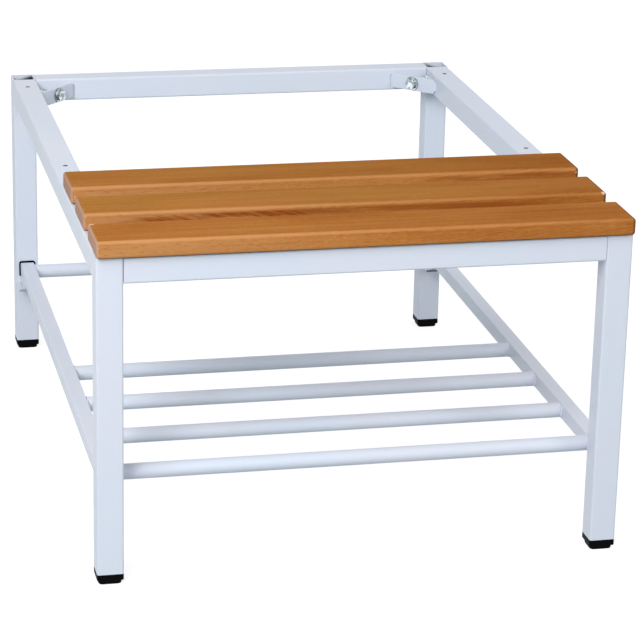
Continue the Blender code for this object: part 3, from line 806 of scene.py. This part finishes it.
def beech(name, seed, red_heart, tone, top_depth, face_depth, top_painted_falloff, face_painted_falloff, yellow_share,
          chipped):
    """Lacquered beech: straight lines, flecks, edges paler for wear and as a painted highlight,
    painted shade below and at the right end, and red heartwood along the front.

    Depths say how deep the colour of the top and the front face is, partly for the grain of each face
    and partly as painted light. The painted falloffs say how much deeper it gets towards the right
    end, as painted shade, and chipped which corner is broken and how far.
    """
    wood, shader, place = new_finish(
        name, Specular_IOR_Level=0.0, Coat_Weight=0.025, Coat_Roughness=0.28)
    low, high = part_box(name)
    centre = (low + high) / 2
    half = high - centre
    along = place.axis("X")
    across = place.axis("Y") - centre.y
    up = place.axis("Z") - centre.z

    def dyed(red, green, blue):
        return red * tone, green * tone, blue * tone, 1

    def figure(detail, *squeeze):
        return place.noise(1.0, detail, squeeze, seed)

    deep = dyed(0.358, 0.108, 0.016)
    pale = dyed(0.540, 0.224, 0.056)
    olive = dyed(0.430, 0.194, 0.036)
    # Pale colour of wear, also used for painted light on the front face and the edges
    worn_and_lit = dyed(0.590, 0.285, 0.115)
    russet = dyed(0.290, 0.068, 0.011)
    end_grain = dyed(0.560, 0.360, 0.280)

    # Growth lines, with yellow patches, dark lines, pores and rays
    patch = figure(3.0, 6.0, 24, 40)
    lines = figure(4.0, 2.6, 210, 330)
    hair = figure(3.0, 9.0, 1300, 1300)
    near_front = (0 - across).between(*FRONT_FACE)
    # Painted shade: the colour deepens towards the right end, as the light falls off
    painted_falloff = along * (near_front * (face_painted_falloff - top_painted_falloff) + top_painted_falloff)
    # The top and the front face take different depths of colour: partly their grain, partly painted
    # light
    tint = patch * 1.2 + lines * 0.75 + hair * 0.35 - near_front * (face_depth - top_depth)
    colour = (tint - painted_falloff - (top_depth + 0.43)).mix(deep, pale)
    yellow = figure(2.0, 4.0, 16, 30).between(0.42, 0.62)
    colour = (yellow * (yellow_share - along * 0.50)).mix(colour, olive)
    dark_line = figure(2.0, 3.0, 150, 260).between(0.60, 0.78)
    colour = (dark_line * 0.45).mix(colour, russet)
    fleck = figure(1.0, 210, 1500, 1500).between(0.62, 0.74)
    colour = (fleck * 0.55).mix(colour, russet)
    ray = figure(1.0, 120, 900, 900).between(0.60, 0.70)
    colour = (ray * 0.30).mix(colour, worn_and_lit)

    # Front face: paler at its left end as painted light, dashed, with dark lines that rise towards
    # the right
    painted_light_left = 1 - along.between(-0.28, 0.06)
    streak = figure(2.0, 26, 420, 420)
    colour = (near_front * painted_light_left * (1.00 - streak * 0.90)).mix(colour, worn_and_lit)
    dash = figure(2.0, 130, 520, 520)
    right_half = along.between(-0.02, 0.20)
    pale_dash = dash.between(0.56, 0.68) * (0.40 - right_half * 0.26)
    colour = (near_front * pale_dash).mix(colour, worn_and_lit)
    colour = (near_front * (1 - dash.between(0.30, 0.42)) * 0.40).mix(colour, deep)
    rising = place.node("Mapping", {"vector_type": "TEXTURE"}, {
        "Vector": place, "Location": seed, "Rotation": (0, -0.10, 0),
        "Scale": (1 / 24, 1 / 70, 1 / 900)})
    rising_lines = rising.noise(1.0, 3.0).between(0.50, 0.60) * right_half
    colour = (near_front * rising_lines * 0.42).mix(colour, russet)

    # Red heartwood: a band along the front face, with a feathered end on the left
    slanted = place.node("Mapping", {"vector_type": "TEXTURE"}, {
        "Vector": place, "Rotation": (0, 0.30, 0), "Scale": (1 / 40, 1 / 70, 1 / 560)})
    feather = slanted.noise(1.0, 2.0).between(0.46, 0.56) * (1 - along.between(-0.08, -0.01))
    flame = figure(4.0, 7.0, 70, 120).between(0.38, 0.58)
    stretch = along.between(red_heart[0] - 0.03, red_heart[0] + 0.03)
    stretch = stretch * (1 - along.between(red_heart[1] - 0.05, red_heart[1] + 0.05))
    band = (1 - up.between(*HEART_TOP)) * up.between(*HEART_FOOT)
    colour = (stretch * near_front * band * (flame * 0.72 + feather * 0.36)).mix(colour, russet)

    # Long edges: pale, partly for wear and partly as a painted highlight that is stronger to the
    # left, and painted shade below
    past_edge = (abs(across) - (half.y - SLAT_EDGE)).smaller(abs(up) - (half.z - SLAT_EDGE))
    edge = (past_edge + figure(3.0, 60, 700, 700) * 0.002).between(*WORN_AND_LIT_EDGE)
    colour = (edge * (0.26 + lines * 0.46 - along * 0.80)).mix(colour, worn_and_lit)
    colour = ((0 - up).between(*SHADED_UNDERSIDE) * 0.85).mix(colour, PAINTED_SHADE_BROWN)

    # Ends: painted shade along the right end's edge, end grain, knocks and one broken corner
    from_middle = abs(along)
    shaded_right_edge = along.between(high.x - 0.0042, high.x - 0.0034)
    colour = (shaded_right_edge * (0.22 + lines * 0.50)).mix(colour, PAINTED_SHADE_BROWN)
    at_end = from_middle.between(high.x - 0.0030, high.x - 0.0008) * (1 - shaded_right_edge)
    at_end = at_end.larger(along.between(high.x - 0.0008, high.x - 0.0003))
    pores = place.noise(1900.0, 2.0).between(0.45, 0.70)
    colour = (at_end * 0.90).mix(colour, (pores * 0.40).mix(end_grain, deep))
    knocked = figure(2.0, 160, 260, 260).between(0.68, 0.72)
    end_edge = from_middle.between(high.x - 0.0060, high.x - 0.0040) * (1 - at_end)
    to_right, to_back, reach = chipped
    corner = centre + (half - CHIP_MIDDLE) * Vector((to_right, to_back, 1))
    from_corner = place.node("VectorMath", {"operation": "DISTANCE"}, {0: place, 1: corner}, "Value")
    ragged = from_corner + place.noise(500.0, 2.0) * CHIP_RAGGED
    broken = 1 - ragged.between(reach, reach + CHIP_BORDER)
    colour = (knocked * end_edge).larger(broken * 0.8).mix(colour, FRESH_WOOD)

    relief = lines * 0.6 + hair * 0.4 - fleck * 0.5
    feed(shader,
         Base_Color=colour,
         Roughness=0.42 + hair * 0.16 + at_end * 0.15,
         Normal=relief.bump(0.12, 0.0003))
    return wood


for node, look in SLAT_LOOKS.items():
    low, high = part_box(node)
    board = bmesh.new()
    bmesh.ops.create_cube(board, size=1, matrix=Matrix.Translation((low + high) / 2)
                          @ Matrix.Diagonal((*(high - low), 1)))
    bmesh.ops.bevel(board, geom=board.edges, offset=SLAT_EDGE, segments=7, profile=0.5,
                    affect="EDGES", material=-1)
    board = combined(board, screw_holes, "DIFFERENCE")
    add_piece(f"{node}_lacquered", board, beech(node, **look), "beech", node)

# Slat screws: zinc plated wood screws with a pan head and a cross recess.
# They go up through the rails from below, so that the seat shows no fastener.
SCREW_DIAMETER = 0.0045
SCREW_HEAD_RADIUS = 0.0045
SCREW_HEAD = 0.003
SCREW_PITCH = 0.002
SCREW_PLAIN = 0.016
SCREW_TIP = 0.0045
SCREW_POINT = 0.0005
SCREW_STEPS = 24
PAN_HEAD = [(0, -SCREW_HEAD), (0.0022, -0.0029), (0.0036, -0.0023), (0.0043, -0.0012),
            (SCREW_HEAD_RADIUS, -0.0004), (SCREW_HEAD_RADIUS - 0.0002, 0)]
RECESS = (0.0048, 0.0011, 0.0032)

screw_length = length_of(screw_nodes[0]) - SCREW_HEAD
tip_start = screw_length - SCREW_TIP
screw = turned(
    PAN_HEAD + [(SCREW_DIAMETER / 2, 0)]
    + thread(SCREW_DIAMETER, SCREW_PITCH, SCREW_PLAIN, tip_start)
    + [(SCREW_DIAMETER / 2, tip_start), (SCREW_POINT, screw_length), (0, screw_length)], SCREW_STEPS)
for quarter in range(2):
    recess = bmesh.new()
    bmesh.ops.create_cube(recess, size=1, matrix=Matrix.Translation((0, 0, -SCREW_HEAD))
                          @ Matrix.Rotation(quarter * pi / 2, 4, "Z") @ Matrix.Diagonal((*RECESS, 1)))
    screw = combined(screw, recess, "DIFFERENCE")
for node in screw_nodes:
    spot = Vector((middle_of(node).x, middle_of(node).y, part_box(node)[0].z + SCREW_HEAD))
    add_piece(f"{node}_plated", move(screw.copy(), Matrix.Translation(spot)), zinc, "zinc", node)

# Studio: a plain pale floor that keeps a light shadow, a white surround and large soft lamps.
# The main and near lamps stand to the left in front, so that the right side is a little darker.
# The fill lamp lightens that side, and the back lamp the two sides that face away.
FLOOR_REACH = 12
FLOOR_GREY = (0.375, 0.425, 0.435, 1)
FLOOR_GLOW = (1, 0.955, 0.950, 1)
FLOOR_GLOW_LEVEL = 0.80
SOFT_SKY = (0.423, 0.439, 0.456, 1)
STUDIO_WHITE = (1, 1, 1, 1)
LAMP_AIM = Vector((0, 0, 0.2))


def seen_directly(tree):
    """1 for rays from the camera, and through gloss and glass; 0 for the light on the bench."""
    nodes = Signal(tree)
    camera_ray = nodes.node("LightPath", output="Is Camera Ray")
    glossy_ray = nodes.node("LightPath", output="Is Glossy Ray")
    glass_ray = nodes.node("LightPath", output="Is Transmission Ray")
    return (camera_ray + glossy_ray + glass_ray).smaller(1.0)


def soft_lamp(name, spot, size, power):
    """Square area lamp aimed at the middle of the bench."""
    data = bpy.data.lights.new(name, "AREA")
    data.size = size
    data.energy = power
    lamp = bpy.data.objects.new(name, data)
    lamp.location = spot
    lamp.rotation_euler = (LAMP_AIM - Vector(spot)).to_track_quat("-Z", "Y").to_euler()
    bpy.context.scene.collection.objects.link(lamp)


floor_mesh = bmesh.new()
bmesh.ops.create_grid(floor_mesh, x_segments=1, y_segments=1, size=FLOOR_REACH)
floor_data = bpy.data.meshes.new("floor")
floor_mesh.to_mesh(floor_data)
floor_mesh.free()
floor = bpy.data.objects.new("floor", floor_data)
bpy.context.scene.collection.objects.link(floor)
floor_paint = bpy.data.materials.new("floor paint")
floor_paint.use_nodes = True
floor_nodes = floor_paint.node_tree.nodes
floor_nodes.remove(floor_nodes["Principled BSDF"])
direct = seen_directly(floor_paint.node_tree)
glow = direct.node("Emission", None, {"Color": FLOOR_GLOW, "Strength": direct * FLOOR_GLOW_LEVEL})
matt = direct.node("BsdfDiffuse", None, {"Color": FLOOR_GREY})
feed(floor_nodes["Material Output"], Surface=direct.node("AddShader", None, {0: glow, 1: matt}))
floor_data.materials.append(floor_paint)

world = bpy.data.worlds.new("studio")
bpy.context.scene.world = world
world.use_nodes = True
surround = seen_directly(world.node_tree).mix(SOFT_SKY, STUDIO_WHITE)
feed(world.node_tree.nodes["Background"], Color=surround)

soft_lamp("main lamp", (-3.38, -6.35, 3.71), 2.4, 180)
soft_lamp("fill lamp", (4.62, -5.51, 3.71), 2.4, 108)
soft_lamp("near lamp", (-1.30, -1.40, 1.80), 1.1, 24.2)
soft_lamp("back lamp", (3.30, 3.55, 0.85), 1.2, 74)

# Camera: a long lens, a little above and to the left of the bench, as in the photograph.
# Its place, turn and lens come from a fit of the frame's edges to a picture 640 pixels wide.
PICTURE_WIDTH = 640
FOCAL_PIXELS = 2663
SENSOR = 36
CAMERA_SPOT = (-0.6687, -3.0801, 1.2426)
YAW = 0.22588
PITCH = 0.33151
ROLL = -0.02331

camera_data = bpy.data.cameras.new("camera")
camera_data.sensor_width = SENSOR
camera_data.lens = SENSOR * FOCAL_PIXELS / PICTURE_WIDTH
camera = bpy.data.objects.new("camera", camera_data)
camera.matrix_world = (Matrix.Translation(CAMERA_SPOT) @ Matrix.Rotation(-YAW, 4, "Z")
                       @ Matrix.Rotation(pi / 2 - PITCH, 4, "X") @ Matrix.Rotation(-ROLL, 4, "Z"))
bpy.context.scene.collection.objects.link(camera)
bpy.context.scene.camera = camera
bpy.context.scene.view_settings.view_transform = "Standard"
